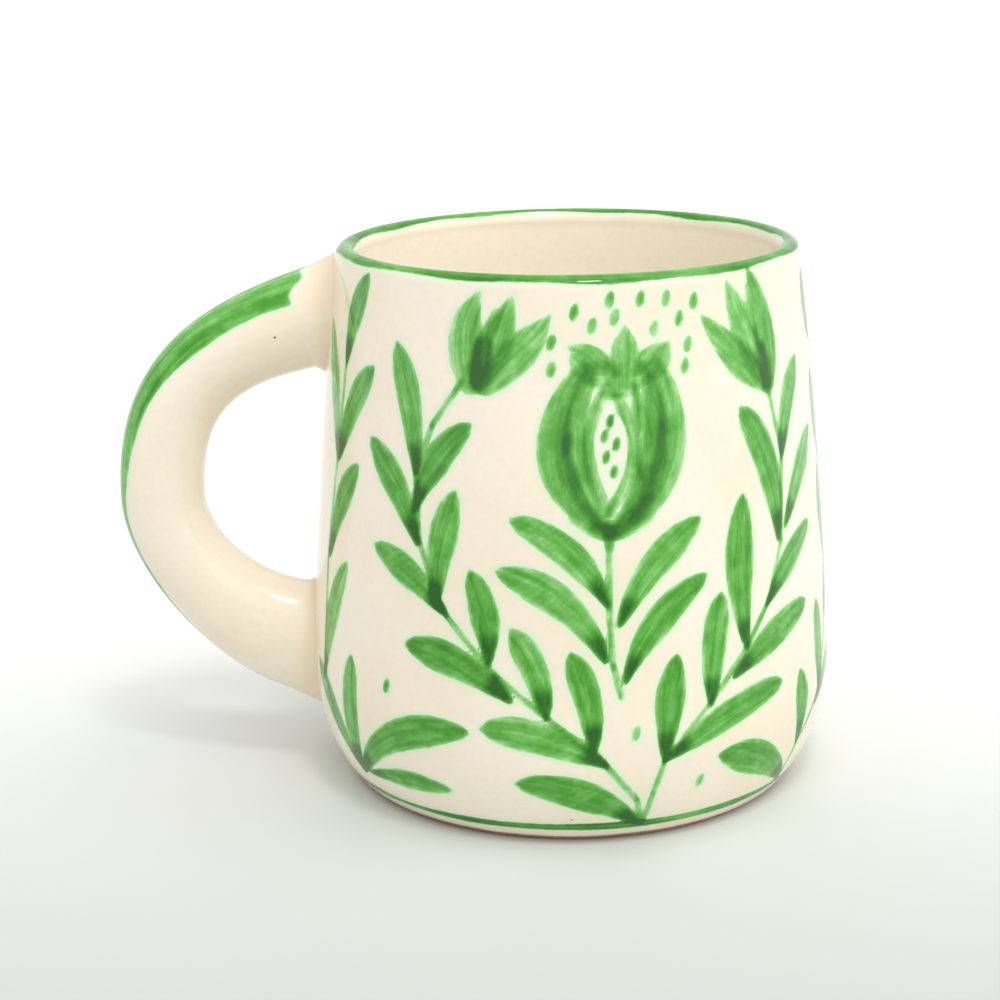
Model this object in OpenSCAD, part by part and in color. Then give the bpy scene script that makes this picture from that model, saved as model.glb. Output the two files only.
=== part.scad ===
/* [Body] */
// Height from the standing plane to the top of the lip
body_height = 90; // [75:1:110]
// Outer diameter just under the lip
rim_d = 76.2; // [66:0.2:92]
// Outer diameter at the widest level, low on the body
belly_d = 87.6; // [76:0.2:104]
// Height of the widest level
belly_height = 20; // [15:0.5:26]
// Outer diameter where the wall starts at the foot
foot_d = 73.4; // [60:0.2:76]
// How slowly the wall leaves the vertical above the widest level
wall_ease = 1.36; // [1.1:0.01:1.6]
// Thickness of the wall
wall_thickness = 3.8; // [3:0.1:6]
// Thickness of the floor above the foot recess
floor_thickness = 4.6; // [3:0.1:8]

/* [Lip] */
// Height of the rounding over the lip
lip_rounding = 2.2; // [1.5:0.1:3.5]

/* [Foot ring] */
// Width of the standing ring
foot_ring_width = 3.6; // [2.5:0.1:8]
// Depth of the recess inside the ring
foot_recess = 1.6; // [0.8:0.1:3]
// Chamfer on both edges of the ring
foot_edge = 0.6; // [0.3:0.1:1]

/* [Inside] */
// Radius of the corner between the inner wall and the floor
inside_corner = 14; // [8:0.5:18]

/* [Handle] */
// Clear space between the widest level and the inner face of the handle
finger_space = 17.8; // [15:0.2:26]
// Thickness of the handle at its middle, seen from the side
grip_thickness = 14.4; // [11:0.2:17]
// Width of the handle at its middle, along the rim direction
grip_width = 13.4; // [10:0.2:18]
// Thickness of the handle where its upper end meets the wall
upper_end_thickness = 17.4; // [14:0.2:20]
// Thickness of the handle where its lower end meets the wall
lower_end_thickness = 21; // [14:0.2:24]
// Width of both ends where they meet the wall
end_width = 16; // [13:0.2:20]
// Height left between the upper joint's slip and the top of the lip
upper_joint_margin = 0.8; // [0.5:0.1:8]
// Height left between the lower joint's slip and the standing plane
lower_joint_margin = 9; // [6:0.2:16]
// Angle at which the upper end falls away from the wall
upper_end_angle = 15; // [0:1:20]
// Angle at which the lower end climbs away from the wall
lower_end_angle = 10; // [0:1:25]

/* [Slip joints] */
// How far the luting slip stands out around each handle end at the wall
slip_spread = 1.3; // [0.8:0.1:2.2]
// How far the luting slip runs out along the handle
slip_reach = 5.5; // [4:0.1:8]
// Thickness of the slip where it fades out on the handle
slip_edge = 0.25; // [0.2:0.05:0.5]

/* [Hidden] */

glaze_cream = [0.95, 0.90, 0.82];
slip_cream = [0.90, 0.83, 0.73];

$fn = 96;
corner_steps = 10;
wall_steps = 12;
lip_steps = 10;
path_steps = 26;
ring_sides = 28;
slip_steps = 5;

foot_r = foot_d / 2;
belly_r = belly_d / 2;
rim_r = rim_d / 2;
wall_top = body_height - lip_rounding;
floor_top = foot_recess + floor_thickness;
inside_corner_top = floor_top + inside_corner;

// The lower corner follows an ellipse that is already climbing where the foot cuts it
corner_climb = 1.1;
corner_b = belly_height * corner_climb;
corner_cut = sqrt(1 - 1 / (corner_climb * corner_climb));
corner_a = (belly_r - foot_r) / (1 - corner_cut);

function lower_r(z) = belly_r - corner_a * (1 - sqrt(1 - pow((belly_height - z) / corner_b, 2)));
function upper_r(z) = belly_r
    - (belly_r - rim_r) * pow((z - belly_height) / (wall_top - belly_height), wall_ease);
function outer_r(z) = z < belly_height ? lower_r(z) : upper_r(min(z, wall_top));
function inner_r(z) = outer_r(max(z, belly_height)) - wall_thickness;

function outer_points() = concat(
    [[foot_r - foot_edge, 0]],
    [for (i = [0 : corner_steps - 1])
        let (z = foot_edge + (belly_height - foot_edge) * pow(i / corner_steps, 1.5))
        [outer_r(z), z]],
    [for (i = [0 : wall_steps])
        let (z = belly_height + (wall_top - belly_height) * i / wall_steps)
        [outer_r(z), z]]
);

function lip_points() = [
    for (i = [1 : lip_steps - 1])
        let (a = 180 * i / lip_steps)
        [rim_r - wall_thickness / 2 * (1 - cos(a)), wall_top + lip_rounding * sin(a)]
];

function inner_points() = concat(
    [for (i = [0 : wall_steps])
        let (z = wall_top - (wall_top - inside_corner_top) * i / wall_steps)
        [inner_r(z), z]],
    [for (i = [1 : corner_steps])
        let (a = 90 * i / corner_steps)
        [inner_r(inside_corner_top) - inside_corner * (1 - cos(a)),
            inside_corner_top - inside_corner * sin(a)]]
);

function underside_points() = [
    [0, floor_top],
    [0, foot_recess],
    [foot_r - foot_ring_width - foot_recess, foot_recess],
    [foot_r - foot_ring_width - foot_edge, foot_edge],
    [foot_r - foot_ring_width, 0]
];

// The whole outside of the body, filled and carried up past the lip, for trimming what is luted on
module body_envelope() {
    crown = [for (p = lip_points()) if (p[0] > rim_r - 0.6 * wall_thickness) p];
    above = body_height + end_width;
    rotate_extrude()
        polygon(concat(outer_points(), crown, [[crown[len(crown) - 1][0], above], [0, above], [0, 0]]));
}

// Centreline of the handle in the plane through the axis of the mug
reach = belly_r + finger_space + grip_thickness / 2;
upper_z = body_height - upper_joint_margin
    - (upper_end_thickness / 2 + slip_spread) / cos(upper_end_angle);
lower_z = lower_joint_margin + (lower_end_thickness / 2 + slip_spread) / cos(lower_end_angle);
upper_x = outer_r(upper_z) - wall_thickness / 2;
lower_x = outer_r(lower_z) - wall_thickness / 2;
span = upper_z - lower_z;
apex_z = lower_z + span * 0.455;
upper_pull = (reach - upper_x) * 0.54;
lower_pull = (reach - lower_x) * 0.67;
buried = 2 * wall_thickness;
upper_run = (slip_reach + wall_thickness / 2) / (6 * upper_pull);
lower_run = (slip_reach + wall_thickness / 2) / (6 * lower_pull);

upper_curve = [
    [-upper_x, upper_z],
    [-upper_x - upper_pull * cos(upper_end_angle), upper_z - upper_pull * sin(upper_end_angle)],
    [-reach, apex_z + span * 0.4],
    [-reach, apex_z]
];
lower_curve = [
    [-reach, apex_z],
    [-reach, apex_z - span * 0.15],
    [-lower_x - lower_pull * cos(lower_end_angle), lower_z + lower_pull * sin(lower_end_angle)],
    [-lower_x, lower_z]
];

function cubic(c, t) = pow(1 - t, 3) * c[0] + 3 * pow(1 - t, 2) * t * c[1]
    + 3 * (1 - t) * t * t * c[2] + pow(t, 3) * c[3];
function cubic_slope(c, t) = pow(1 - t, 2) * (c[1] - c[0]) + 2 * (1 - t) * t * (c[2] - c[1])
    + t * t * (c[3] - c[2]);
function unit(v) = v / norm(v);

// s runs from 0 at the upper joint to 1 at the lower joint
function centre(s) = s < 0.5 ? cubic(upper_curve, 2 * s) : cubic(lower_curve, 2 * s - 1);
function heading(s) = unit(s < 0.5 ? cubic_slope(upper_curve, 2 * s)
    : cubic_slope(lower_curve, 2 * s - 1));

function upper_swell(s) = pow(max(0, 1 - s / 0.35), 2);
function lower_swell(s) = pow(max(0, (s - 0.62) / 0.38), 2);
function thickness(s) = grip_thickness + (upper_end_thickness - grip_thickness) * upper_swell(s)
    + (lower_end_thickness - grip_thickness) * lower_swell(s);
function width(s) = grip_width + (end_width - grip_width) * max(upper_swell(s), lower_swell(s));

// One oval ring round the centreline, moved along its heading and grown by a margin
function ring(s, along, grow) = let (
    h = heading(s),
    c = centre(s) + h * along,
    n = [-h[1], h[0]],
    a = thickness(s) / 2 + grow,
    b = width(s) / 2 + grow
) [
    for (j = [0 : ring_sides - 1])
        let (q = 360 * j / ring_sides)
        [c[0] + n[0] * a * cos(q), b * sin(q), c[1] + n[1] * a * cos(q)]
];

// Skin over rings that follow one another, each square cut into two triangles
function skin(first, rings, flip) = [
    for (i = [first : first + rings - 2])
        for (j = [0 : ring_sides - 1])
            let (
                k = (j + 1) % ring_sides,
                p = i * ring_sides + j,
                q = i * ring_sides + k,
                r = (i + 1) * ring_sides + k,
                t = (i + 1) * ring_sides + j
            )
            for (f = flip ? [[r, q, p], [t, r, p]] : [[p, q, r], [p, r, t]]) f
];

// Flat face between an outer ring and an inner ring at one end of a collar
function annulus(outer, inner, flip) = [
    for (j = [0 : ring_sides - 1])
        let (
            k = (j + 1) % ring_sides,
            p = outer * ring_sides + j,
            q = outer * ring_sides + k,
            r = inner * ring_sides + j,
            t = inner * ring_sides + k
        )
        for (f = flip ? [[r, p, q], [t, r, q]] : [[q, p, r], [q, r, t]]) f
];

// Stations shared by the handle and its slip collars, counted away from the wall
function collar_station(end, i) = end == 0 ? upper_run * i / slip_steps
    : 1 - lower_run * i / slip_steps;

module swept_handle() {
    stations = concat(
        [for (i = [0 : slip_steps]) collar_station(0, i)],
        [for (i = [1 : path_steps - 1])
            upper_run + (1 - upper_run - lower_run) * i / path_steps],
        [for (i = [slip_steps : -1 : 0]) collar_station(1, i)]
    );
    rings = concat(
        [ring(0, -buried, 0)],
        [for (s = stations) ring(s, 0, 0)],
        [ring(1, buried, 0)]
    );
    last = (len(rings) - 1) * ring_sides;
    polyhedron(
        points = [for (r = rings) for (p = r) p],
        faces = concat(
            [[for (j = [ring_sides - 1 : -1 : 0]) j]],
            skin(0, len(rings), false),
            [[for (j = [0 : ring_sides - 1]) last + j]]
        )
    );
}

// A collar of slip that hugs one end of the handle: end is 0 at the upper joint, 1 at the lower
module slip_collar(end) {
    away = end == 0 ? [0 : slip_steps] : [slip_steps : -1 : 0];
    bare = concat(
        end == 0 ? [ring(0, -buried, 0)] : [],
        [for (i = away) ring(collar_station(end, i), 0, 0)],
        end == 1 ? [ring(1, buried, 0)] : []
    );
    coated = concat(
        end == 0 ? [ring(0, -buried, slip_spread)] : [],
        [for (i = away) ring(collar_station(end, i), 0, slip_edge
            + (slip_spread - slip_edge) * pow(1 - i / slip_steps, 2))],
        end == 1 ? [ring(1, buried, slip_spread)] : []
    );
    count = len(bare);
    polyhedron(
        points = [for (r = concat(coated, bare)) for (p = r) p],
        faces = concat(
            skin(0, count, false),
            skin(count, count, true),
            annulus(0, count, false),
            annulus(count - 1, 2 * count - 1, true)
        )
    );
}

module cup_body() {
    color(glaze_cream)
        rotate_extrude()
            polygon(concat(outer_points(), lip_points(), inner_points(), underside_points()));
}

module handle() {
    color(glaze_cream)
        difference() {
            swept_handle();
            body_envelope();
        }
}

module upper_slip_joint() {
    color(slip_cream)
        difference() {
            slip_collar(0);
            body_envelope();
        }
}

module lower_slip_joint() {
    color(slip_cream)
        difference() {
            slip_collar(1);
            body_envelope();
        }
}

cup_body();
handle();
upper_slip_joint();
lower_slip_joint();
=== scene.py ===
import math

import bpy
import numpy as np
from mathutils import Matrix, Vector


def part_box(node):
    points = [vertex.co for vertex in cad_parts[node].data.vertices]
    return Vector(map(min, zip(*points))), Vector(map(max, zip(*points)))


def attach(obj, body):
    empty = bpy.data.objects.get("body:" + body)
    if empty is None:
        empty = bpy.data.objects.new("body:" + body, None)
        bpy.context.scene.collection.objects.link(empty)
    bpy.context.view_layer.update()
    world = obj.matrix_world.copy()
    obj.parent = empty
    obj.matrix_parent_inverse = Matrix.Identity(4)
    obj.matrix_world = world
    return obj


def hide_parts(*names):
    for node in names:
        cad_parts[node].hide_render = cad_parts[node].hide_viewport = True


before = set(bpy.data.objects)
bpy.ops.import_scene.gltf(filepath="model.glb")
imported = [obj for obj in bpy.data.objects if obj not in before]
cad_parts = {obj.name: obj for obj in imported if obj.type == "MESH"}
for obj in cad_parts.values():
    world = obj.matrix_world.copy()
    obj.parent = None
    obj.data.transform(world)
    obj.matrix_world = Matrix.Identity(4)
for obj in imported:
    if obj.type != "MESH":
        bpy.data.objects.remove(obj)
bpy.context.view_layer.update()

# Looks of a hand-painted stoneware mug. The handle points to -X, the painted front to -Y,
# and the foot ring stands on z = 0. The mug is measured in millimetres until its points reach a
# mesh, and the stage round it, its lights and its floor, in metres.
MM = 0.001

# ---------------------------------------------------------------- sizes, as in the CAD model
body_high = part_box("cup_body")[1]
BODY_HEIGHT = body_high.z / MM
BELLY_R = body_high.x / MM
RIM_R = 38.1
FOOT_R = 36.7
BELLY_Z = 20
WALL = 3.8
WALL_EASE = 1.36
LIP_ROUNDING = 2.2
WALL_TOP = BODY_HEIGHT - LIP_ROUNDING
CORNER_CLIMB = 1.1
CORNER_B = BELLY_Z * CORNER_CLIMB
CORNER_A = (BELLY_R - FOOT_R) / (1 - math.sqrt(1 - 1 / CORNER_CLIMB**2))
FOOT_EDGE = 0.6
FOOT_RING = 3.6
FOOT_RECESS = 1.6
FLOOR_TOP = FOOT_RECESS + 4.6
INSIDE_CORNER = 14

GRIP = 14.4
GRIP_WIDTH = 13.4
UPPER_END = 17.4
LOWER_END = 21
UPPER_MARGIN = 0.8   # from the upper joint's slip to the top of the lip
LOWER_MARGIN = 9     # from the lower joint's slip to the table
END_WIDTH = 16
UPPER_ANGLE = math.radians(15)
LOWER_ANGLE = math.radians(10)
APEX_SHARE = 0.455       # how far up its span the handle stands out most
UPPER_PULL_SHARE = 0.54  # how far out each end runs before it turns, as a share of the whole way
LOWER_PULL_SHARE = 0.67
UPPER_SHOULDER = 0.4     # how far the outermost line is held straight, as shares of the span
LOWER_SHOULDER = 0.15
UPPER_SWELL_END = 0.35   # stations between which the handle has its plain thickness
LOWER_SWELL_START = 0.62
SLIP_SPREAD = 1.3
SLIP_REACH = 5.5


def outer_r(z):
    """Outer radius of the body at height z."""
    z = np.asarray(z, float)
    low = np.clip((BELLY_Z - z) / CORNER_B, 0, 1)
    high = np.clip((z - BELLY_Z) / (WALL_TOP - BELLY_Z), 0, 1)
    corner = BELLY_R - CORNER_A * (1 - np.sqrt(1 - low**2))
    wall = BELLY_R - (BELLY_R - RIM_R) * high**WALL_EASE
    return np.where(z < BELLY_Z, corner, wall)


def inner_r(z):
    """Inner radius of the wall at height z."""
    return outer_r(np.maximum(z, BELLY_Z)) - WALL


# ---------------------------------------------------------------- the outline of the body
OUTER_ROWS = 150
LIP_ROWS = 14
COLUMNS = 576
COARSE = 3      # inside and underneath, one column stands for this many
BOTTOM_R = 30   # rings narrower than this belong to the bottom


def arc_lengths(r, z):
    return np.concatenate([[0], np.cumsum(np.hypot(np.diff(r), np.diff(z)))])


fine_z = np.linspace(0, WALL_TOP, 1801)
fine_s = arc_lengths(outer_r(fine_z), fine_z)
WALL_RUN = fine_s[-1]


def height_at(s):
    """Height of the point that lies s up the outside of the wall from the foot."""
    return np.interp(s, fine_s, fine_z)


def radius_at(s):
    return outer_r(height_at(s))


def body_outline():
    """(radius, height, is fine) of every ring, from under the foot, over the lip, to the floor inside."""
    ring_in = FOOT_R - FOOT_RING
    under = [(ring_in - FOOT_RECESS - 22, FOOT_RECESS), (ring_in - FOOT_RECESS - 10, FOOT_RECESS),
             (ring_in - FOOT_RECESS - 1, FOOT_RECESS), (ring_in - FOOT_RECESS, FOOT_RECESS),
             (ring_in - FOOT_EDGE - 0.3, FOOT_EDGE + 0.3), (ring_in - FOOT_EDGE, FOOT_EDGE),
             (ring_in - 0.1, 0.08), (ring_in, 0), (FOOT_R - FOOT_EDGE - 0.3, 0)]
    rings = [(r, z, False) for r, z in under]
    rings.append((FOOT_R - FOOT_EDGE, 0, True))
    start = float(np.interp(FOOT_EDGE, fine_z, fine_s))
    for s in np.linspace(start, WALL_RUN, OUTER_ROWS):
        z = float(height_at(s))
        rings.append((float(outer_r(z)), z, True))
    for a in np.linspace(0, math.pi, LIP_ROWS + 1)[1:]:
        rings.append((RIM_R - WALL / 2 * (1 - math.cos(a)), WALL_TOP + LIP_ROUNDING * math.sin(a), True))
    corner_top = FLOOR_TOP + INSIDE_CORNER
    for z in np.linspace(WALL_TOP - 1.2, corner_top, 12):
        rings.append((float(inner_r(z)), float(z), False))
    for a in np.linspace(0, math.pi / 2, 9)[1:]:
        r = float(inner_r(corner_top)) - INSIDE_CORNER * (1 - math.cos(a))
        rings.append((r, corner_top - INSIDE_CORNER * math.sin(a), False))
    for share in (0.7, 0.35):
        rings.append((rings[-1][0] * share, FLOOR_TOP, False))
    return rings


# ---------------------------------------------------------------- brush strokes
# A place on the wall is (degrees round from the front towards the right, millimetres up the wall).
# Two layers come out of the brushwork for every point of the surface: how far inside the painted
# area it is, in millimetres, and how much pigment lies there. "along" and "across" follow the bristles.
STROKE_STEPS = 14
UNPAINTED = -3.0   # depth of a point far from any paint
WET_RUN = 4.5      # how far the pool of a wet touch-down reaches
THINNEST = 0.08    # pigment left by even the driest bristle
STEM_HALF, STEM_TONE = 0.6, 0.5
LEAF_PLUMP, LEAF_TONE, LEAF_WET = 1.04, 0.57, 0.85
PETAL_TONE, HEART_TONE, DOT_TONE = 0.44, 0.5, 0.52


def smooth(low, high, x):
    t = np.clip((x - low) / (high - low), 0, 1)
    return t * t * (3 - 2 * t)


def leaf_width(t):
    return 0.24 + 0.76 * np.sin(math.pi * t**1.4) ** 0.58


def petal_width(t):
    return np.sin(math.pi * (0.2 + 0.8 * t)) ** 0.8


def line_width(t):
    return np.ones_like(t)


def dab_width(t):
    return np.sin(math.pi * (0.3 + 0.42 * t))


def belly_width(t):
    return np.sin(math.pi * (0.1 + 0.82 * t)) ** 0.75


def lens_width(t):
    return np.sin(math.pi * t) ** 0.9


class Paint:
    """Brushwork on a grid of points given by their angle and their height up the wall.

    While mirrored is set, strokes meant for the front go to the back, left and right swapped.
    """

    def __init__(self, angle, run, seed):
        self.angle, self.run = angle, run
        self.radius = radius_at(np.minimum(run, WALL_RUN))
        self.depth = np.full(angle.shape, UNPAINTED)
        self.tone = np.zeros(angle.shape)
        self.along = np.zeros(angle.shape)
        self.across = np.zeros(angle.shape)
        self.random = np.random.default_rng(seed)
        self.mirrored = False

    def lay(self, base, tip, bend, width, shape, tone=0.0, wet=0.0, carve=False):
        """One stroke from base to tip; bend moves its middle to the left of the way it goes.

        wet is the pigment that pools where the brush touched down. A carved stroke wipes paint away.
        """
        if self.mirrored:
            base, tip, bend = (180 - base[0], base[1]), (180 - tip[0], tip[1]), -bend
        draws = self.random.uniform(-1, 1, 6)
        reach = abs(bend) + width + 2
        near_s = (self.run > min(base[1], tip[1]) - reach) & (self.run < max(base[1], tip[1]) + reach)
        turn = (self.angle - base[0] + 180) % 360 - 180
        x_all = np.radians(turn) * self.radius
        end = np.array([math.radians(tip[0] - base[0]) * float(radius_at(tip[1])), tip[1] - base[1]])
        near = near_s & (x_all > min(0, end[0]) - reach) & (x_all < max(0, end[0]) + reach)
        if not near.any():
            return
        points = np.stack([x_all[near], self.run[near] - base[1]], 1)
        length = float(np.hypot(*end))
        side = np.array([-end[1], end[0]]) / length
        t = np.linspace(0, 1, STROKE_STEPS + 1)
        # the bent line down the middle of the stroke, and each point's nearest place on it
        line = np.outer(t, end) + np.outer(4 * t * (1 - t), side * bend)
        a, d = line[:-1], np.diff(line, axis=0)
        rel = points[:, None] - a
        u = np.clip((rel * d).sum(2) / (d * d).sum(1), 0, 1)
        gap = rel - u[..., None] * d
        dist = np.hypot(gap[..., 0], gap[..., 1])
        k = dist.argmin(1)
        row = np.arange(len(k))
        dist, u = dist[row, k], u[row, k]
        where = np.clip((k + u) / STROKE_STEPS, 0, 1)
        half = width * shape(where) * (1 + 0.05 * np.sin(9 * where + 5 * draws[5]))
        cross = d[k, 0] * rel[row, k, 1] - d[k, 1] * rel[row, k, 0]
        across = np.sign(cross) * dist
        depth = half - dist
        old = self.depth[near]
        if carve:
            self.depth[near] = np.minimum(old, -depth)
            self.tone[near] *= 1 - smooth(-0.3, 0.2, depth)
            return
        # pigment: streaked by the bristles, heavier at the tip of a leaf and where the brush was wet
        bristles = (np.sin(across * 3.1 + draws[0] * 9 + np.sin(where * 2.6 + draws[1] * 4) * 1.1)
                    + 0.6 * np.sin(across * 6.7 + draws[2] * 9 + where * 2))
        load = tone * (1 + 0.24 * draws[3] + 0.14 * bristles + 0.28 * draws[4] * across / width)
        load += 0.10 * smooth(0.82, 0.97, where) * (shape is leaf_width)
        load += wet * (1 - smooth(0.55, 1.2, where * length / WET_RUN))
        cover = 0.35 * smooth(-0.2, 0.1, depth) + 0.65 * smooth(0, 0.9, depth)
        self.tone[near] += np.maximum(load, THINNEST) * cover
        self.depth[near] = np.maximum(old, depth)
        # the newest stroke sets which way the bristles ran
        over = depth > np.minimum(old, 0.6)
        keep = np.flatnonzero(near.ravel())[over]
        self.along.ravel()[keep] = (where * length + draws[5] * 40)[over]
        self.across.ravel()[keep] = (across + draws[0] * 20)[over]

    def trail(self, points, width, tone):
        """A thin stem through the points."""
        for a, b in zip(points[:-1], points[1:]):
            self.lay(a, b, 0, width, line_width, tone)

    def band(self, centre, half, tone, wobble):
        """A line all the way round."""
        angle = np.radians(self.angle)
        middle = centre + wobble * (np.sin(2 * angle + 0.7) + 0.6 * np.sin(5 * angle + 2))
        thick = half * (1 + 0.16 * np.sin(3 * angle + 1) + 0.1 * np.sin(11 * angle))
        across = self.run - middle
        depth = thick - np.abs(across)
        uneven = 0.22 * np.sin(7 * angle + 1.3) * np.sin(3 * angle)
        shade = tone * (0.8 + uneven + 0.5 * (across / half) ** 2)
        self.tone += shade * smooth(-0.3, 0.45, depth)
        over = depth > np.maximum(self.depth, -0.5)
        self.along[over] = (angle * BELLY_R)[over]
        self.across[over] = across[over] + 5
        self.depth = np.maximum(self.depth, depth)


# The sprays grow out of points on the base band; each leaf is (tip, base, bend, half its width).
LEFT_STEM = [
    (16, 4.5), (14, 10), (7, 17), (-5, 25), (-15, 31), (-28, 41), (-33.5, 51), (-35, 61.5), (-31, 69),
    (-24, 76),
]
LEFT_LEAVES = [
    ((-11, 13.5), (15, 4.8), -2.2, 2.8), ((-18, 22.5), (7, 17), -1.6, 2.8),
    ((0, 35), (4.5, 19.5), -0.9, 2.3), ((-36, 34), (-12.5, 27.5), -1.7, 2.7),
    ((-12, 38.5), (-5, 25), -1.0, 2.3), ((-21, 47), (-17, 33), -0.9, 2.4),
    ((-46, 48.5), (-26.5, 40), -1.1, 2.4), ((-25, 59), (-29, 41), 0.8, 2.4),
    ((-49, 65), (-34, 50.5), -1.1, 2.5), ((-22, 69.5), (-35, 55.5), 1.3, 2.4),
    ((-42, 80.5), (-35, 61.5), -0.9, 2.4),
]
RIGHT_STEM = [
    (16, 4.5), (17.5, 11), (19.5, 17), (30, 25.5), (40, 33), (47, 39.5), (52, 48), (54, 62), (50, 73),
]
RIGHT_LEAVES = [
    ((22, 33.5), (19.5, 17), 0.4, 2.4), ((50, 25), (20, 17), 1.6, 2.5), ((33, 42), (30, 25), 0.5, 2.4),
    ((61, 36), (36, 28.5), 1.1, 2.6), ((40, 56.5), (39.5, 33), 1.1, 2.8),
    ((65, 48.5), (46, 38.5), 0.9, 2.3), ((41, 70), (51, 48.5), -2.0, 2.8),
    ((70, 63.5), (54, 50), 0.6, 2.3), ((64, 75.5), (54, 61), 1.0, 2.3),
    ((33, 15.8), (58, 5.5), -1.7, 2.9),
]
CENTRE_STEM = [(8, 53), (8, 40), (8.6, 33), (10.2, 28)]
CENTRE_LEAVES = [
    ((-12, 55.5), (7.6, 42.5), -2.1, 2.4), ((28, 54.5), (10, 39.5), 1.5, 2.4),
    ((-15, 47.5), (7, 34), -2.7, 2.6), ((29, 45.5), (11, 30.5), 1.9, 2.4),
]
NEAR_HANDLE_STEM = [(-55, 8), (-62, 14), (-67.5, 24), (-67, 44), (-64, 60), (-62, 76)]
NEAR_HANDLE_LEAVES = [
    ((-54, 90), (-62, 75.5), 0.9, 2.3), ((-50, 76), (-63, 60), 1.0, 2.4),
    ((-75, 81), (-64, 60), -0.8, 2.3), ((-54, 60), (-66, 43.5), 1.0, 2.4),
    ((-57, 43.5), (-68, 22), 1.2, 2.4), ((-54, 28.5), (-54.5, 9), 0.5, 2.4),
    ((-73, 24), (-55, 8), -1.4, 2.3), ((-22, 21.5), (-54, 8.5), 3.4, 2.7),
    ((-27, 10.5), (-52, 8.5), 0.8, 1.8),
]
FAR_STEM = [(58, 5.5), (60.5, 12), (68, 18), (75, 28), (79, 40), (81, 54), (81, 68), (79.5, 77)]
FAR_LEAVES = [
    ((58, 25), (60, 12), -0.5, 2.2), ((68, 34.5), (69.5, 18.5), -0.5, 2.3),
    ((77, 56), (79, 40), 0.7, 2.3), ((77, 72), (81, 54.5), 0.8, 2.3), ((76, 88), (79.5, 76), 0.6, 2.2),
    ((86, 24), (68, 17), 1.4, 2.4), ((86, 44), (76, 30), 1.2, 2.3), ((87, 60), (80, 45), 0.8, 2.2),
    ((87.5, 77), (81, 62), 0.8, 2.2),
]
STEMS = (LEFT_STEM, RIGHT_STEM, CENTRE_STEM, NEAR_HANDLE_STEM, FAR_STEM)
LEAVES = LEFT_LEAVES + RIGHT_LEAVES + CENTRE_LEAVES + NEAR_HANDLE_LEAVES + FAR_LEAVES
DOTS = [
    (1, 86.9), (9, 88.6), (5, 84.8), (10, 86), (16, 88.5), (19, 84), (22, 88.3), (25, 85.2), (29, 87.6),
    (-4, 82.5), (-4, 78.5), (27, 81.3), (26, 78), (-42, 26.3), (13, 22), (28, 12),
]


def beside(foot, dx, dy):
    """The place dx to the right of foot along the wall and dy above it."""
    return foot[0] + math.degrees(dx / float(radius_at(foot[1]))), foot[1] + dy


def strokes(paint, foot, rows, shape, tone):
    """Several strokes near one foot: a row is (from, to, bend, half width) and perhaps its own tone."""
    for start, stop, bend, width, *own in rows:
        own_tone = own[0] if own else tone
        paint.lay(beside(foot, *start), beside(foot, *stop), bend, width, shape, own_tone)


# The two tulips, left and right of the centre flower, and the darker middle of each.
LEFT_TULIP_FOOT = (-22.5, 76)
LEFT_TULIP = [
    ((0.5, 0), (1.9, 13.9), 1.8, 2.9), ((2, 0), (7, 13.4), -0.1, 2.9), ((3, 0), (13, 10.6), -0.4, 2.8),
]
LEFT_HEART = [((1.4, 0.4), (2.4, 5.6), 0, 2.1, 0.66), ((3.4, 7.4), (4.6, 10.4), 0, 1.3, 0.25)]
RIGHT_TULIP_FOOT = (50, 73.2)
RIGHT_TULIP = [
    ((-0.5, 0.2), (-13.4, 12.2), 0.6, 2.8), ((0, 0.6), (-8.1, 17), 0.4, 2.9),
    ((0.3, 0), (-3.2, 18.4), -1.3, 2.9),
]
RIGHT_HEART = [
    ((0, -0.2), (-0.4, 6), 0, 1.1, 0.5), ((-0.6, 4.5), (-2.4, 8.5), 0, 0.8, 0.3),
    ((-3.2, 9), (-3.4, 15.5), 0, 0.6, 0.25),
]

# The big centre flower: bellied strokes round an open slit with seeds, and a crown of points.
FLOWER_FOOT = (8, 52)
FLOWER_PETALS = [
    ((-0.4, 1.6), (-3.2, 27), 6.3, 2.7), ((0, 2), (-1.8, 26.5), 4.4, 2.4),
    ((0.8, 1.4), (8.4, 27), -5.4, 2.8), ((1, 2), (6.2, 26.5), -3.9, 2.5),
    ((0.2, 4.6), (0.4, 24.4), 2.9, 1.5), ((0.2, 4.6), (0.4, 24.4), -3.3, 1.5),
]
FLOWER_FILLS = [
    ((-4.4, 4.6), (5.6, 4.2), -1.7, 2.3), ((-2.4, 2.6), (3.2, 2.3), -0.5, 1.5),
    ((-2.4, 25.4), (7.6, 25.2), 0, 2.3), ((-5.6, 7.5), (-6.6, 20), 1.2, 2.2),
    ((6.6, 7.5), (7.4, 21.5), -1.4, 2.6),
]
FLOWER_CROWN = [
    ((1.2, 25.8), (-6.4, 30), -0.6, 1.6), ((-2.2, 24.6), (-5.6, 29), 0.2, 1.6),
    ((3, 23.6), (3.3, 32.8), 0, 2.5), ((7, 24.8), (10.8, 30.2), -0.2, 1.8),
    ((5, 25.8), (10.6, 29.8), 0.5, 1.4),
]
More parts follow.
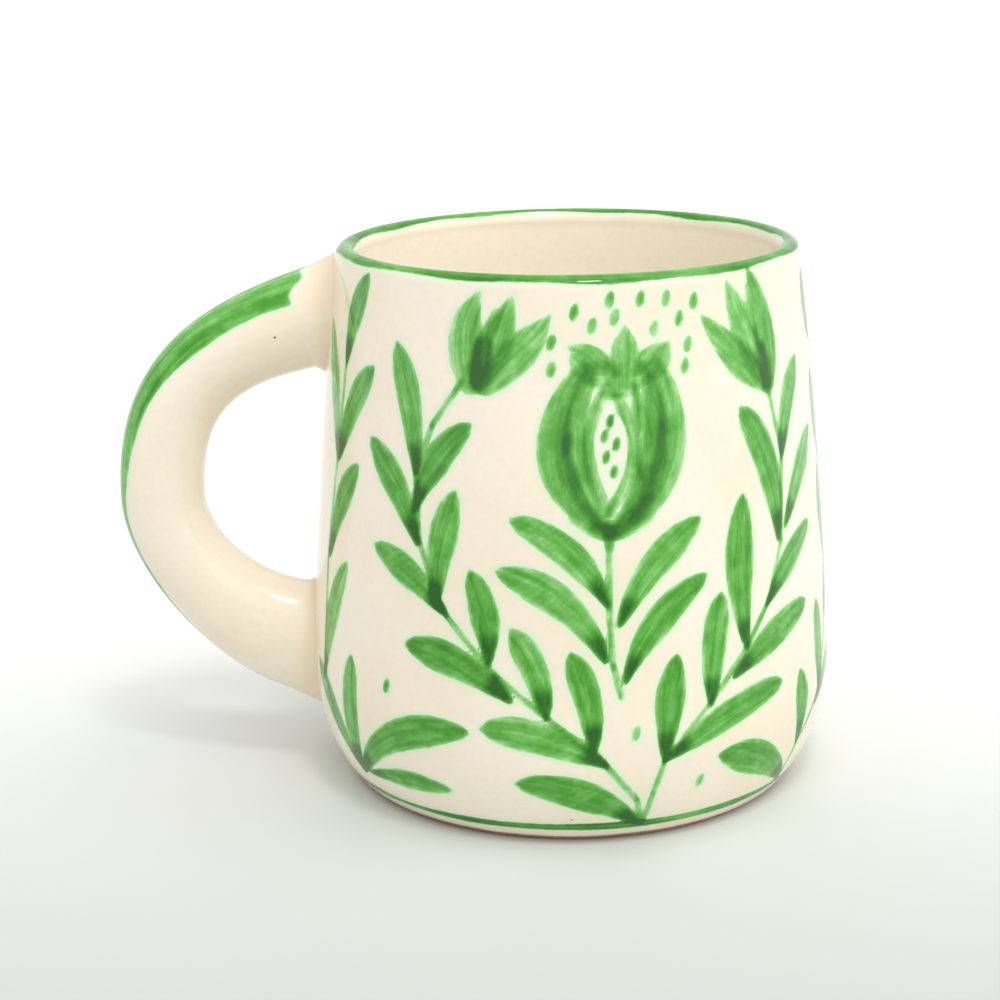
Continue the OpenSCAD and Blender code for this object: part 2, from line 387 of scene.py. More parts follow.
FLOWER_WET = [
    ((0.1, -0.6), (0.1, 3.0), 0, 1.0, 0.6), ((-2.2, 3), (1.2, 1.4), 0, 1.0, 0.3),
    ((4.2, 3.6), (6.4, 6.6), 0, 1.4, 0.4), ((4.6, 23.6), (5.0, 17), 0.2, 0.9, 0.6),
    ((5.0, 16), (5.2, 10), -0.2, 0.7, 0.45), ((-6.4, 13.8), (-5.8, 16.6), 0, 0.9, 0.4),
    ((-3.4, 17.4), (-3.6, 15), 0, 0.5, 0.35), ((-4.2, 8), (-5.4, 12), 0, 0.5, 0.3),
    ((0.1, 5), (1.0, 6.8), 0, 0.8, 0.45), ((-0.4, 22.6), (1.9, 22.2), 0, 0.8, 0.5),
    ((-0.2, 25.6), (0.1, 28), 0, 0.6, 0.4), ((7.4, 21), (7.0, 25.4), 0, 0.5, 0.25),
]
SEEDS = [(0.5, 18.6), (-0.4, 16.4), (1.4, 15.1), (-0.2, 13.2), (1, 11)]


def seed_flower(paint, foot):
    """The centre flower; the slit is wiped free of paint before its seeds are dabbed in."""
    strokes(paint, foot, FLOWER_PETALS, belly_width, 0.38)
    strokes(paint, foot, FLOWER_FILLS, dab_width, 0.13)
    strokes(paint, foot, FLOWER_CROWN, petal_width, 0.38)
    strokes(paint, foot, FLOWER_WET, dab_width, 0.4)
    paint.lay(beside(foot, 0.3, 7), beside(foot, 0.3, 21.6), -0.35, 2.5, lens_width, carve=True)
    for dx, dy in SEEDS:
        low, high = beside(foot, dx - 0.1, dy - 0.6), beside(foot, dx + 0.2, dy + 0.6)
        paint.lay(low, high, 0, 0.72, dab_width, 0.85)


def side_of_mug(paint):
    """All the flowers of one side, front or back."""
    for stem in STEMS:
        paint.trail(stem, STEM_HALF, STEM_TONE)
    for tip, base, bend, width in LEAVES:
        paint.lay(base, tip, bend, LEAF_PLUMP * width, leaf_width, LEAF_TONE, LEAF_WET)
    strokes(paint, LEFT_TULIP_FOOT, LEFT_TULIP, petal_width, PETAL_TONE)
    strokes(paint, LEFT_TULIP_FOOT, LEFT_HEART, dab_width, HEART_TONE)
    strokes(paint, RIGHT_TULIP_FOOT, RIGHT_TULIP, petal_width, PETAL_TONE)
    strokes(paint, RIGHT_TULIP_FOOT, RIGHT_HEART, dab_width, HEART_TONE)
    seed_flower(paint, FLOWER_FOOT)
    for angle, rise in DOTS:
        paint.lay((angle, rise - 0.7), (angle + 0.5, rise + 0.7), 0, 0.8, dab_width, DOT_TONE)


def paint_body(angle, run):
    """All the brushwork of the body, for every point of the fine rings."""
    paint = Paint(angle, run, seed=11)
    side_of_mug(paint)
    paint.mirrored = True
    side_of_mug(paint)
    paint.band(centre=4.3, half=0.82, tone=1.0, wobble=0.1)
    lip_crown = WALL_RUN + math.pi * (WALL + 2 * LIP_ROUNDING) / 8
    paint.band(centre=lip_crown - 0.2, half=1.75, tone=0.8, wobble=0.06)
    return paint


# ---------------------------------------------------------------- meshes
def new_piece(name, points, faces, corner_uv, node):
    """A smooth mesh with its own unfolded map, riding on the mug's one body in place of a CAD node."""
    mesh = bpy.data.meshes.new(name)
    mesh.from_pydata((np.asarray(points) * MM).tolist(), [], faces)
    mesh.polygons.foreach_set("use_smooth", [True] * len(mesh.polygons))
    layer = mesh.uv_layers.new(name="OFBake")
    layer.data.foreach_set("uv", np.asarray(corner_uv, np.float32).ravel())
    mesh.validate()
    piece = bpy.data.objects.new(name, mesh)
    bpy.context.scene.collection.objects.link(piece)
    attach(piece, "root")
    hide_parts(node)
    return piece


def set_layer(piece, name, values):
    layer = piece.data.attributes.new(name, "FLOAT", "POINT")
    layer.data.foreach_set("value", np.asarray(values, np.float32).ravel())


def hand_made(angle, z):
    """How far the wall stands in from a true circle, as thrown and dried clay does."""
    a = np.radians(angle)
    return 0.09 * (1 + np.sin(2 * a + 0.6 + z / 60)) + 0.035 * (1 + np.sin(3 * a - z / 35))


def ring_angles(count):
    return -180 + 360 * np.arange(count) / count


def ring_points(rings):
    """(points of all rings, the index of the first point of each, how many points each has)."""
    points, starts, counts = [], [], []
    for r, z, fine in rings:
        count = COLUMNS if fine else COLUMNS // COARSE
        angle = ring_angles(count)
        off_the_table = z if r > BOTTOM_R else 0.0
        inward = hand_made(angle, z) * smooth(0, 6, np.full(count, off_the_table))
        uneven = fine or z > FLOOR_TOP
        across = np.full(count, r) - inward * uneven
        a = np.radians(angle)
        starts.append(sum(counts))
        counts.append(count)
        points.append(np.stack([across * np.sin(a), -across * np.cos(a), np.full(count, z)], 1))
    return np.concatenate(points), starts, counts


def paint_grid(rings):
    """Angle and height up the wall of every point of the fine rings."""
    outline = [(r, z) for r, z, fine in rings if fine]
    start = float(np.interp(FOOT_EDGE, fine_z, fine_s))
    steps = [math.hypot(r - r0, z - z0) for (r0, z0), (r, z) in zip(outline[1:-1], outline[2:])]
    run = np.concatenate([[0.0], np.cumsum([start] + steps)])
    return np.tile(ring_angles(COLUMNS), (len(run), 1)), np.tile(run[:, None], (1, COLUMNS))


def ring_cells(i, counts):
    """Corners, as (ring, column), of the cells between ring i and the next, coarse or fine."""
    n, m = counts[i], counts[i + 1]
    for j in range(min(n, m)):
        if n == m:
            yield [(i, j), (i, j + 1), (i + 1, j + 1), (i + 1, j)]
        elif n < m:
            yield [(i, j), (i, j + 1)] + [(i + 1, COARSE * j + k) for k in range(COARSE, -1, -1)]
        else:
            yield [(i, COARSE * j + k) for k in range(COARSE + 1)] + [(i + 1, j + 1), (i + 1, j)]


def build_body():
    """The cup: rings from under the foot, over the lip, down to the floor inside, closed by two fans."""
    rings = body_outline()
    ring_r = np.array([r for r, z, fine in rings])
    ring_z = np.array([z for r, z, fine in rings])
    down_the_map = arc_lengths(ring_r, ring_z) + ring_r[0]
    map_v = down_the_map / (down_the_map[-1] + ring_r[-1])
    points, starts, counts = ring_points(rings)

    def corner(i, j):
        return (j / counts[i], map_v[i])

    faces, uvs = [], []
    for i in range(len(rings) - 1):
        for cell in ring_cells(i, counts):
            faces.append([starts[a] + b % counts[a] for a, b in cell])
            uvs.extend(corner(a, b) for a, b in cell)
    under, inside = len(points), len(points) + 1
    points = np.vstack([points, [0, 0, FOOT_RECESS], [0, 0, FLOOR_TOP]])
    last = len(rings) - 1
    for j in range(counts[0]):
        faces.append([under, (j + 1) % counts[0], j])
        uvs.extend([((j + 0.5) / counts[0], 0), corner(0, j + 1), corner(0, j)])
    for j in range(counts[last]):
        faces.append([starts[last] + j, starts[last] + (j + 1) % counts[last], inside])
        uvs.extend([corner(last, j), corner(last, j + 1), ((j + 0.5) / counts[last], 1)])
    piece = new_piece("mug_body", points, faces, uvs, "cup_body")
    paint = paint_body(*paint_grid(rings))
    foot_row = next(i for i, ring in enumerate(rings) if ring[2])
    painted = slice(starts[foot_row], starts[foot_row] + paint.depth.size)
    for name, layer, blank in (("depth", paint.depth, UNPAINTED), ("tone", paint.tone, 0.0),
                               ("along", paint.along, 0.0), ("across", paint.across, 0.0)):
        values = np.full(len(points), blank)
        values[painted] = layer.ravel()
        set_layer(piece, name, values)
    # the pool layer marks where glaze gathers against the slip, together with painted crease shade in the
    # joint; "inner" marks the inside of the cup, whose paler cream is painted light
    set_layer(piece, "pool_and_crease_shade", np.zeros(len(points)))
    inner = np.zeros(len(points))
    inner[painted.stop:] = 1
    inner[under] = 0
    set_layer(piece, "inner", inner)
    return piece


# ---------------------------------------------------------------- handle and slip joints
handle_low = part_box("handle")[0]
REACH = -handle_low.x / MM - GRIP / 2   # from the axis to the centreline at its farthest
UPPER_Z = BODY_HEIGHT - UPPER_MARGIN - (UPPER_END / 2 + SLIP_SPREAD) / math.cos(UPPER_ANGLE)
LOWER_Z = LOWER_MARGIN + (LOWER_END / 2 + SLIP_SPREAD) / math.cos(LOWER_ANGLE)
UPPER_X = float(outer_r(UPPER_Z)) - WALL / 2
LOWER_X = float(outer_r(LOWER_Z)) - WALL / 2
SPAN = UPPER_Z - LOWER_Z
APEX_Z = LOWER_Z + SPAN * APEX_SHARE
UPPER_PULL = (REACH - UPPER_X) * UPPER_PULL_SHARE
LOWER_PULL = (REACH - LOWER_X) * LOWER_PULL_SHARE
UPPER_RUN = (SLIP_REACH + WALL / 2) / (6 * UPPER_PULL)
LOWER_RUN = (SLIP_REACH + WALL / 2) / (6 * LOWER_PULL)
UPPER_CURVE = np.array([
    (-UPPER_X, UPPER_Z),
    (-UPPER_X - UPPER_PULL * math.cos(UPPER_ANGLE), UPPER_Z - UPPER_PULL * math.sin(UPPER_ANGLE)),
    (-REACH, APEX_Z + SPAN * UPPER_SHOULDER),
    (-REACH, APEX_Z)])
LOWER_CURVE = np.array([
    (-REACH, APEX_Z),
    (-REACH, APEX_Z - SPAN * LOWER_SHOULDER),
    (-LOWER_X - LOWER_PULL * math.cos(LOWER_ANGLE), LOWER_Z + LOWER_PULL * math.sin(LOWER_ANGLE)),
    (-LOWER_X, LOWER_Z)])
SIDES = 72
HANDLE_STEPS = 180
SLIP_STEPS = 26
SLIP_SUNK = 0.7   # how deep the slip's inner skin lies in the handle

# The stripe down the handle: how far round it reaches, in degrees to either side of the outermost
# line, at some distances from the upper joint, and where it starts and stops.
STRIPE_RUN = [0, 6, 26, 36, 42, 48, 62, 70, 75, 90]
STRIPE_REACH = [63, 63, 64, 57, 49, 41, 36, 26, 8, 0]
STRIPE_START, STRIPE_STOP = 4.6, 76


def cubic(curve, t):
    t = np.asarray(t, float)[:, None]
    return ((1 - t)**3 * curve[0] + 3 * (1 - t)**2 * t * curve[1]
            + 3 * (1 - t) * t**2 * curve[2] + t**3 * curve[3])


def centre_line(s):
    s = np.asarray(s, float)[:, None]
    return np.where(s < 0.5, cubic(UPPER_CURVE, 2 * s[:, 0]), cubic(LOWER_CURVE, 2 * s[:, 0] - 1))


def handle_rings(s, grow):
    """Points of the oval rings at stations s, each grown by a margin; they start on the inner side."""
    s = np.asarray(s, float)
    step = 1e-4
    ahead = centre_line(np.minimum(s + step, 1)) - centre_line(np.maximum(s - step, 0))
    heading = ahead / np.hypot(ahead[:, 0], ahead[:, 1])[:, None]
    inward = np.stack([-heading[:, 1], heading[:, 0]], 1)
    upper = np.maximum(0, 1 - s / UPPER_SWELL_END)**2
    lower = np.maximum(0, (s - LOWER_SWELL_START) / (1 - LOWER_SWELL_START))**2
    a = (GRIP + (UPPER_END - GRIP) * upper + (LOWER_END - GRIP) * lower) / 2 + grow
    b = (GRIP_WIDTH + (END_WIDTH - GRIP_WIDTH) * np.maximum(upper, lower)) / 2 + grow
    q = 2 * math.pi * np.arange(SIDES) / SIDES
    c = centre_line(s)
    x = c[:, :1] + inward[:, :1] * a[:, None] * np.cos(q)
    z = c[:, 1:] + inward[:, 1:] * a[:, None] * np.cos(q)
    y = b[:, None] * np.sin(q) * np.ones_like(x)
    return np.stack([x, y, z], 2)


all_s = np.linspace(0, 1, 601)
all_c = centre_line(all_s)
all_run = arc_lengths(all_c[:, 0], all_c[:, 1])


def wall_outside(z):
    """Radius of the outside of the body at height z, over the shoulder of the lip too."""
    rise = np.clip((z - WALL_TOP) / LIP_ROUNDING, 0, 0.98)
    return outer_r(np.minimum(z, WALL_TOP)) - WALL / 2 * (1 - np.sqrt(1 - rise**2))


def meet_wall(loops, s, end, sunk=1.2, fade=9):
    """Slides ring points along the handle near one end, so that the end lies sunk in the curved wall."""
    away = centre_line([abs(end - 1e-4)])[0] - centre_line([end])[0]
    away = np.array([away[0], 0, away[1]]) / np.hypot(*away)
    last = loops[s.argmin() if end == 0 else s.argmax()]
    slide = np.zeros(len(last))
    for _ in range(30):
        point = last + slide[:, None] * away
        slide -= 0.7 * (np.hypot(point[:, 0], point[:, 1]) - wall_outside(point[:, 2]) + sunk)
    run = np.interp(s, all_s, all_run)
    share = 1 - smooth(0, fade, run if end == 0 else all_run[-1] - run)
    return loops + (share[:, None] * slide)[..., None] * away


def stripe_layers(s):
    """Depth, tone, along and across of the painted stripe, at every ring point of the handle."""
    run = np.interp(s, all_s, all_run)[:, None] * np.ones(SIDES)
    q = np.ones_like(run) * (360 * np.arange(SIDES) / SIDES - 180)
    reach = np.interp(run, STRIPE_RUN, STRIPE_REACH) + 1.3 * np.sin(run * 0.3 + np.sign(q))
    reach = reach + 0.5 * np.sin(run * 0.8 + 2 * np.sign(q))
    across = np.radians(q) * GRIP / 2
    side = np.radians(reach) * GRIP / 2 - np.abs(across)
    start = run - (STRIPE_START + 2.4 * np.abs(q) / 63 + 0.5 * np.sin(np.radians(q) * 9))
    stop = STRIPE_STOP - run - 1.5 * np.sin(np.radians(q) * 7)
    depth = np.minimum(np.minimum(side, start), stop)
    bristles = (np.sin(across * 2.3 + 0.6 * np.sin(run * 0.12))
                + 0.7 * np.sin(across * 5.2 + 1.3 + 0.5 * np.sin(run * 0.2)))
    tone = 0.5 + 0.10 * bristles - 0.14 * np.exp(-(q / 20)**2) + 0.16 * smooth(30, 60, np.abs(q))
    tone = tone * smooth(-0.3, 0.6, depth)
    return np.clip(depth, UNPAINTED, -UNPAINTED), tone, run, across


def tube(name, loops, closed, layers, node, pool_and_crease_shade):
    """Quads over loops that follow one another, capped, or closed on themselves for a collar."""
    count = len(loops)
    points = loops.reshape(-1, 3)
    faces, uvs = [], []
    length = count if closed else count - 1
    for i in range(length):
        for j in range(SIDES):
            cells = [(i, j), (i, j + 1), (i + 1, j + 1), (i + 1, j)]
            faces.append([(a % count) * SIDES + b % SIDES for a, b in cells])
            uvs.extend((b / SIDES, 0.02 + 0.96 * a / length) for a, b in cells)
    if not closed:
        for row, order, v in ((0, -1, 0.01), (count - 1, 1, 0.99)):
            faces.append([row * SIDES + j for j in range(SIDES)][::order])
            uvs.extend([(0.5, v)] * SIDES)
    piece = new_piece(name, points, faces, uvs, node)
    for layer_name, values in zip(("depth", "tone", "along", "across"), layers):
        set_layer(piece, layer_name, values)
    set_layer(piece, "pool_and_crease_shade", pool_and_crease_shade)
    return piece


def build_handle():
    s = np.linspace(0, 1, HANDLE_STEPS + 1)
    loops = meet_wall(meet_wall(handle_rings(s, np.zeros_like(s)), s, 0), s, 1)
    run = np.interp(s, all_s, all_run)
    # a pulled handle is never quite even: faint flats left by the fingers
    q = 2 * math.pi * np.arange(SIDES) / SIDES
    middle = loops.mean(1, keepdims=True)
    ends = smooth(8, 20, run) * smooth(8, 20, run[-1] - run)
    waves = np.sin(run[:, None] * 0.13 + np.cos(q) * 1.7) * np.sin(2 * q + 0.4)
    dent = 0.012 * ends[:, None] * (1 + waves)
    loops = middle + (loops - middle) * (1 - dent[..., None])
    pool_and_crease_shade = np.zeros(loops.shape[:2])
    return tube("pulled_handle", loops, False, stripe_layers(s), "handle", pool_and_crease_shade)


def build_slip(name, node, end):
    """A collar of slip round one end of the handle, feathered out to nothing on the handle side."""
    share = np.linspace(0, 1, SLIP_STEPS + 1)
    s = share * UPPER_RUN if end == 0 else 1 - share * LOWER_RUN
    outer = meet_wall(handle_rings(s, SLIP_SPREAD * (1 - share)**2 - 0.04 * share), s, end)
    inner = meet_wall(handle_rings(s, np.full(len(s), -SLIP_SUNK)), s, end)
    loops = np.concatenate([outer, inner[::-1]])
    layers = stripe_layers(s)
    blank = [np.full_like(layers[0], UNPAINTED)] + [np.zeros_like(layers[0])] * 3
    layers = [np.concatenate([a, b]) for a, b in zip(layers, blank)]
    # pooled glaze and painted crease shade: the collar turns tan towards the wall, where the handle meets
    # the body
    pool_and_crease_shade = np.concatenate([1 - smooth(0.25, 0.75, share), np.zeros(len(s))])[:, None] * np.ones(SIDES)
    if end == 1:
        loops = loops[::-1]
        layers = [a[::-1] for a in layers]
        pool_and_crease_shade = pool_and_crease_shade[::-1]
    return tube(name, loops, True, layers, node, pool_and_crease_shade)


# ---------------------------------------------------------------- materials
def linear(r, g, b):
    """A colour given in 0-255 screen values, as the renderer wants it."""
    def one(v):
        v = v / 255
        return v / 12.92 if v <= 0.04045 else ((v + 0.055) / 1.055)**2.4
    return (one(r), one(g), one(b), 1.0)


class Nodes:
    """Short ways to add shader nodes and join them."""

    def __init__(self, name):
        self.material = bpy.data.materials.new(name)
        self.material.use_nodes = True
        self.tree = self.material.node_tree
        self.shader = self.tree.nodes["Principled BSDF"]

    def put(self, socket, value):
        if isinstance(value, bpy.types.NodeSocket):
            self.tree.links.new(value, socket)
        else:
            socket.default_value = value

    def add(self, kind, inputs=(), output=0, **settings):
        node = self.tree.nodes.new(kind)
        for key, value in settings.items():
            setattr(node, key, value)
        for key, value in dict(inputs).items():
            self.put(node.inputs[key], value)
        return node.outputs[output]

    def layer(self, name):
        return self.add("ShaderNodeAttribute", output=2, attribute_name=name)

    def math(self, operation, a, b):
        return self.add("ShaderNodeMath", {0: a, 1: b}, operation=operation)

    def step(self, value, low, high, to_low=0.0, to_high=1.0):
        return self.add("ShaderNodeMapRange", {0: value, 1: low, 2: high, 3: to_low, 4: to_high},
                        interpolation_type="SMOOTHSTEP")

    def mix(self, factor, a, b):
        return self.add("ShaderNodeMix", {0: factor, 6: a, 7: b}, output=2, data_type="RGBA")

    def ramp(self, value, stops):
        node = self.tree.nodes.new("ShaderNodeValToRGB")
        self.put(node.inputs[0], value)
        while len(node.color_ramp.elements) < len(stops):
            node.color_ramp.elements.new(0.5)
        for element, (position, colour) in zip(node.color_ramp.elements, stops):
            element.position = position
            element.color = colour
        return node.outputs[0]

    def noise(self, vector, scale, detail=2.0, rough=0.5):
        inputs = {"Vector": vector, "Scale": scale, "Detail": detail, "Roughness": rough}
        return self.add("ShaderNodeTexNoise", inputs)


CREAM = linear(245, 235, 219)
CREAM_WARM = linear(241, 228, 206)
# the inside of the cup gets a paler cream: painted light standing in for the light that falls into it
CREAM_INSIDE_PAINTED_LIGHT = linear(255, 248, 230)
CREAM_TAN = linear(222, 196, 158)
HALO = linear(214, 234, 205)
SPECK = linear(96, 70, 46)
BARE_CLAY = linear(156, 116, 84)
PALE_CLAY = linear(182, 144, 110)
GREENS = [
    (0.0, linear(192, 224, 174)), (0.12, linear(148, 205, 128)), (0.25, linear(108, 182, 84)),
    (0.42, linear(74, 155, 44)), (0.6, linear(48, 126, 22)), (0.85, linear(26, 92, 8)),
]
POOLED_BLUE = linear(24, 88, 76)
TONE_TOP = 1.6         # the tone at the far end of the greens
SPECK_CELLS = 210      # cells per metre, each with room for one speck
SPECK_SHARE = 0.05     # of the cells that have one
SPECK_SIZE = 0.085     # radius of the largest, in cells
GLAZE_EDGE = 0.35      # height over which the glaze thins out to bare clay
CLAY_ROUGHNESS = 0.85


def cream_ground(n, place):
    """Cloudy cream with a few iron specks; tan at the edge of the slip, from pooled glaze and painted
    crease shade; paler inside the cup, as painted light.
    """
    cloudy = n.noise(place, 38, 3, 0.55)
    cream = n.mix(n.step(cloudy, 0.35, 0.7), CREAM, CREAM_WARM)
    # tan where glaze pools against the slip, partly painted crease shade in the joint
    cream = n.mix(n.math("MULTIPLY", n.layer("pool_and_crease_shade"), 0.5), cream, CREAM_TAN)
    # painted light: the inside of the cup is mixed to a paler cream
    cream = n.mix(n.layer("inner"), cream, CREAM_INSIDE_PAINTED_LIGHT)
    grain = n.noise(place, 900, 2, 0.6)
    cream = n.mix(n.step(grain, 0.3, 0.8, 0.0, 0.12), cream, CREAM_TAN)
    cells = n.tree.nodes.new("ShaderNodeTexVoronoi")
    n.put(cells.inputs["Vector"], place)
    n.put(cells.inputs["Scale"], SPECK_CELLS)
    chosen = n.add("ShaderNodeSeparateColor", {0: cells.outputs["Color"]})
    size = n.step(chosen, 1 - SPECK_SHARE, 1.0, 0.0, SPECK_SIZE)
    speck = n.math("LESS_THAN", cells.outputs["Distance"], size)
    return n.mix(n.math("MULTIPLY", speck, 0.85), cream, SPECK)


def brushed_green(n, cream, ragged, wash):
    """Green pigment laid over the cream by the brushwork layers, with a pale halo where it bled."""
    bristle = n.add("ShaderNodeCombineXYZ", {0: n.math("MULTIPLY", n.layer("across"), 1.5),
                                             1: n.math("MULTIPLY", n.layer("along"), 0.16)})
    streak = n.noise(bristle, 1.0, 3, 0.6)
    depth = n.math("ADD", n.layer("depth"), n.step(ragged, 0.25, 0.75, -0.06, 0.06))
    depth = n.math("ADD", depth, n.step(streak, 0.3, 0.7, -0.03, 0.03))
    tone = n.math("ADD", n.layer("tone"), n.step(streak, 0.3, 0.72, -0.10, 0.12))
    tone = n.math("ADD", tone, n.step(wash, 0.3, 0.72, -0.10, 0.12))
    green = n.ramp(n.math("DIVIDE", tone, TONE_TOP), GREENS)
    blue = n.math("MULTIPLY", n.step(wash, 0.56, 0.7), n.step(tone, 1.0, 1.35))
    green = n.mix(n.math("MULTIPLY", blue, 0.22), green, POOLED_BLUE)
    halo = n.step(depth, -1.0, 0.0, 0.0, 0.8)
    inside = n.step(depth, -0.1, 0.22)
    return n.mix(inside, n.mix(halo, cream, HALO), green)


def painted_glaze(name, glaze_roughness, bare_below=None):
    """Glossy glaze over the brushwork; below the height bare_below the clay is left unglazed."""
    n = Nodes(name)
    place = n.add("ShaderNodeTexCoord", output=3)
    ragged = n.noise(place, 700, 2, 0.5)
    wash = n.noise(place, 330, 3, 0.6)
    colour = brushed_green(n, cream_ground(n, place), ragged, wash)
    roughness = n.step(ragged, 0.3, 0.7, glaze_roughness, glaze_roughness + 0.05)
    if bare_below is not None:
        height = n.add("ShaderNodeSeparateXYZ", {0: place}, output=2)
        edge = n.math("ADD", height, n.step(n.noise(place, 90, 2, 0.5), 0.3, 0.7, -0.0001, 0.0001))
        bare = n.step(edge, bare_below * MM, (bare_below + GLAZE_EDGE) * MM, 1.0, 0.0)
        clay = n.mix(n.step(n.noise(place, 1400, 3, 0.7), 0.3, 0.7), BARE_CLAY, PALE_CLAY)
        colour = n.mix(bare, colour, clay)
        roughness = n.add("ShaderNodeMix", {0: bare, 2: roughness, 3: CLAY_ROUGHNESS}, data_type="FLOAT")
    n.put(n.shader.inputs["Base Color"], colour)
    n.put(n.shader.inputs["Roughness"], roughness)
    n.shader.inputs["IOR"].default_value = 1.5
    ripple = n.noise(place, 95, 2, 0.5)
    fine = n.noise(place, 1500, 1, 0.5)
    relief = n.math("ADD", ripple, n.math("MULTIPLY", fine, 0.015))
    n.put(n.shader.inputs["Normal"],
          n.add("ShaderNodeBump", {"Strength": 0.25, "Distance": 0.0006, "Height": relief}))
    return n.material


def floor_material():
    """Matt white paper, with painted shade that turns it greyer towards its front edge near the mug."""
    n = Nodes("floor_paper")
    place = n.add("ShaderNodeTexCoord", output=3)
    back = n.add("ShaderNodeSeparateXYZ", {0: place}, output=1)
    far = n.add("ShaderNodeVectorMath", {0: place}, output=1, operation="LENGTH")
    # painted shade: greyer towards the front, fading out about a metre from the middle
    front_shade = n.math("MULTIPLY", n.step(back, -0.17, 0.14, 1.0, 0.0), n.step(far, 0.3, 0.9, 1.0, 0.0))
    tone = n.mix(front_shade, FLOOR_WHITE, FLOOR_FRONT)
    fibre = n.noise(place, 30, 4, 0.6)
    n.put(n.shader.inputs["Base Color"], n.mix(n.step(fibre, 0.3, 0.7, 0.0, 0.06), tone, FLOOR_FRONT))
    n.put(n.shader.inputs["Roughness"], n.step(fibre, 0.3, 0.7, 0.75, 0.85))
    n.shader.inputs["Specular IOR Level"].default_value = 0.2
    return n.material


# ---------------------------------------------------------------- camera, light and floor
CAMERA_PLACE = Vector((-0.9, -350, 142.6)) * MM
CAMERA_TURN = math.radians(1.76)
CAMERA_DIP = math.radians(15.47)
CAMERA_ROLL = math.radians(-0.94)
CAMERA_LENS = 77.3
# FLOOR_FRONT is the painted shade at the front of the floor, and also the tone of the paper's darker
# fibres
FLOOR_FRONT = linear(188, 193, 187)
FLOOR_WHITE = linear(251, 251, 250)
SKY_RIM = 0.97
SKY_DARK = 0.5
SKY_BRIGHT = 1.06
SUN_POWER = 1.0
SUN_WIDTH = math.radians(80)
SUN_FROM = Vector((0.5, -0.4, 0.8))
SKY_FROM = Vector((0.42, -0.28, 0.86)).normalized()
SOFTBOX_PLACE = (0.1, -0.34, 0.75)
SOFTBOX_SIZE = (0.11, 0.11)
SOFTBOX_POWER = 0.9


def build_camera():
    data = bpy.data.cameras.new("camera")
    data.lens = CAMERA_LENS
    data.clip_end = 60
    camera = bpy.data.objects.new("camera", data)
    turn = Matrix.Rotation(CAMERA_TURN, 4, "Z")
    dip = Matrix.Rotation(math.pi / 2 - CAMERA_DIP, 4, "X")
    roll = Matrix.Rotation(CAMERA_ROLL, 4, "Z")
    camera.matrix_world = Matrix.Translation(CAMERA_PLACE) @ turn @ dip @ roll
    bpy.context.scene.collection.objects.link(camera)
    bpy.context.scene.camera = camera


def soft_light(name, place, size, power):
    data = bpy.data.lights.new(name, "AREA")
    data.shape = "RECTANGLE"
    data.size, data.size_y = size
    data.energy = power
    light = bpy.data.objects.new(name, data)
    aim = Vector((0, 0, BODY_HEIGHT / 2 * MM)) - Vector(place)
    light.location = place
    light.rotation_euler = aim.to_track_quat("-Z", "Y").to_euler()
    bpy.context.scene.collection.objects.link(light)


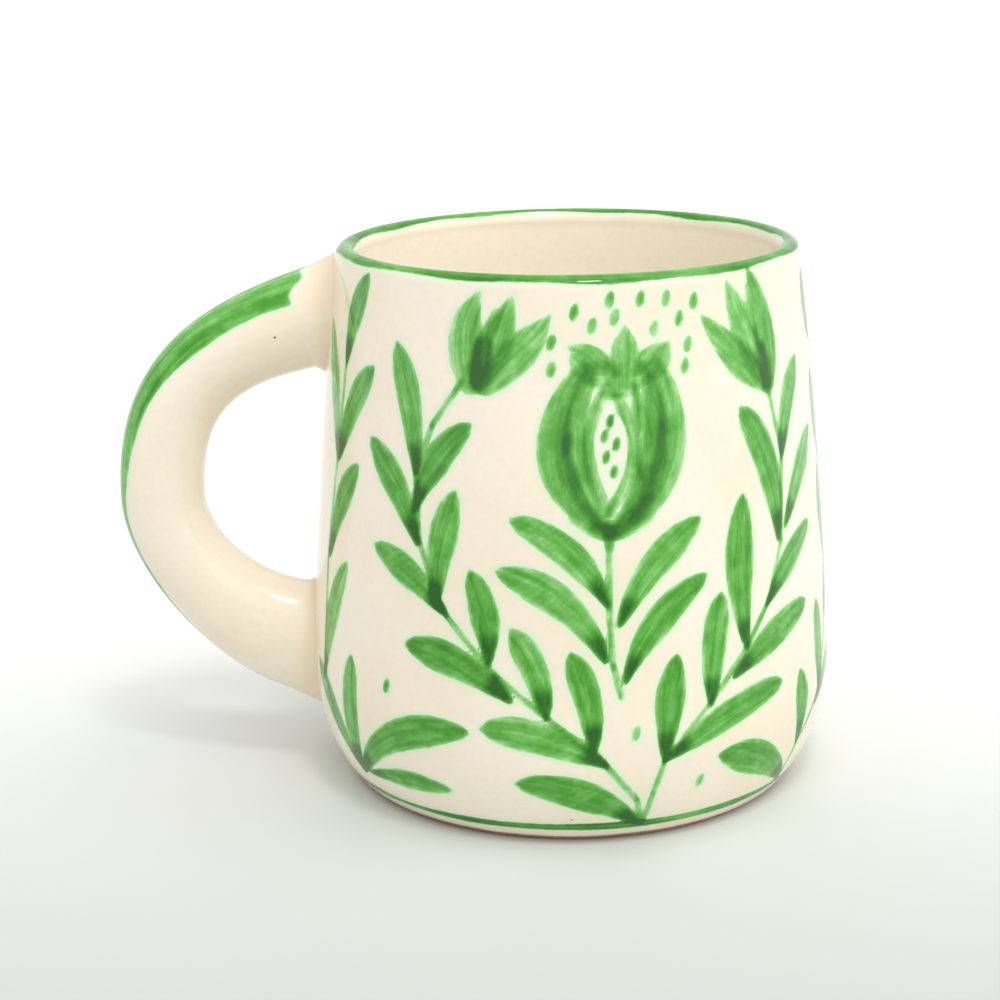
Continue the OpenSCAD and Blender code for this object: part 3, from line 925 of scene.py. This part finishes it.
def build_light():
    """A white tent, brighter towards the front right and above, pale where it meets the floor."""
    world = bpy.data.worlds.new("studio")
    world.use_nodes = True
    tree = world.node_tree
    way = tree.nodes.new("ShaderNodeTexCoord").outputs["Generated"]
    lean = tree.nodes.new("ShaderNodeVectorMath")
    lean.operation = "DOT_PRODUCT"
    lean.inputs[1].default_value = SKY_FROM
    sky = tree.nodes.new("ShaderNodeMapRange")
    for key, value in ((1, -0.6), (2, 0.9), (3, SKY_DARK), (4, SKY_BRIGHT)):
        sky.inputs[key].default_value = value
    split = tree.nodes.new("ShaderNodeSeparateXYZ")
    lift = tree.nodes.new("ShaderNodeMapRange")
    lift.interpolation_type = "SMOOTHSTEP"
    for key, value in ((1, 0.02), (2, 0.35)):
        lift.inputs[key].default_value = value
    blend = tree.nodes.new("ShaderNodeMix")
    blend.inputs[2].default_value = SKY_RIM
    tree.links.new(way, lean.inputs[0])
    tree.links.new(lean.outputs["Value"], sky.inputs[0])
    tree.links.new(way, split.inputs[0])
    tree.links.new(split.outputs[2], lift.inputs[0])
    tree.links.new(lift.outputs[0], blend.inputs[0])
    tree.links.new(sky.outputs[0], blend.inputs[3])
    tree.links.new(blend.outputs[0], tree.nodes["Background"].inputs[1])
    tree.nodes["Background"].inputs[0].default_value = (1.0, 1.0, 1.0, 1)
    bpy.context.scene.world = world
    bpy.context.scene.view_settings.view_transform = "Standard"
    lamp = bpy.data.lights.new("window", "SUN")
    lamp.energy = SUN_POWER
    lamp.angle = SUN_WIDTH
    lamp.color = (1.0, 0.985, 0.955)
    window = bpy.data.objects.new("window", lamp)
    window.rotation_euler = (-SUN_FROM).to_track_quat("-Z", "Y").to_euler()
    bpy.context.scene.collection.objects.link(window)
    soft_light("softbox", SOFTBOX_PLACE, SOFTBOX_SIZE, SOFTBOX_POWER)


def build_floor():
    """A wide round sheet, a hair under the foot ring, whose edge is far beyond every view."""
    radii = [0.25, 0.5, 1, 2, 4, 8, 14]
    count = 96
    turns = [2 * math.pi * k / count for k in range(count)]
    points = [(0, 0, 0)]
    for r in radii:
        points += [(r * math.cos(turn), r * math.sin(turn), 0) for turn in turns]
    faces = [(0, 1 + k, 1 + (k + 1) % count) for k in range(count)]
    for i in range(len(radii) - 1):
        low, high = 1 + i * count, 1 + (i + 1) * count
        for k in range(count):
            after = (k + 1) % count
            faces.append((low + k, high + k, high + after, low + after))
    mesh = bpy.data.meshes.new("floor")
    mesh.from_pydata(points, [], faces)
    mesh.materials.append(floor_material())
    floor = bpy.data.objects.new("floor", mesh)
    floor.location.z = -0.02 * MM
    bpy.context.scene.collection.objects.link(floor)


build_camera()
build_light()
build_floor()
body_glaze = painted_glaze("painted_body", glaze_roughness=0.07, bare_below=1.0)
build_body().data.materials.append(body_glaze)
handle_glaze = painted_glaze("painted_handle", glaze_roughness=0.09)
build_handle().data.materials.append(handle_glaze)
for name, node, end in (("upper_slip", "upper_slip_joint", 0), ("lower_slip", "lower_slip_joint", 1)):
    slip_glaze = painted_glaze(name + "_glaze", glaze_roughness=0.1)
    build_slip(name, node, end).data.materials.append(slip_glaze)

bpy.context.view_layer.update()
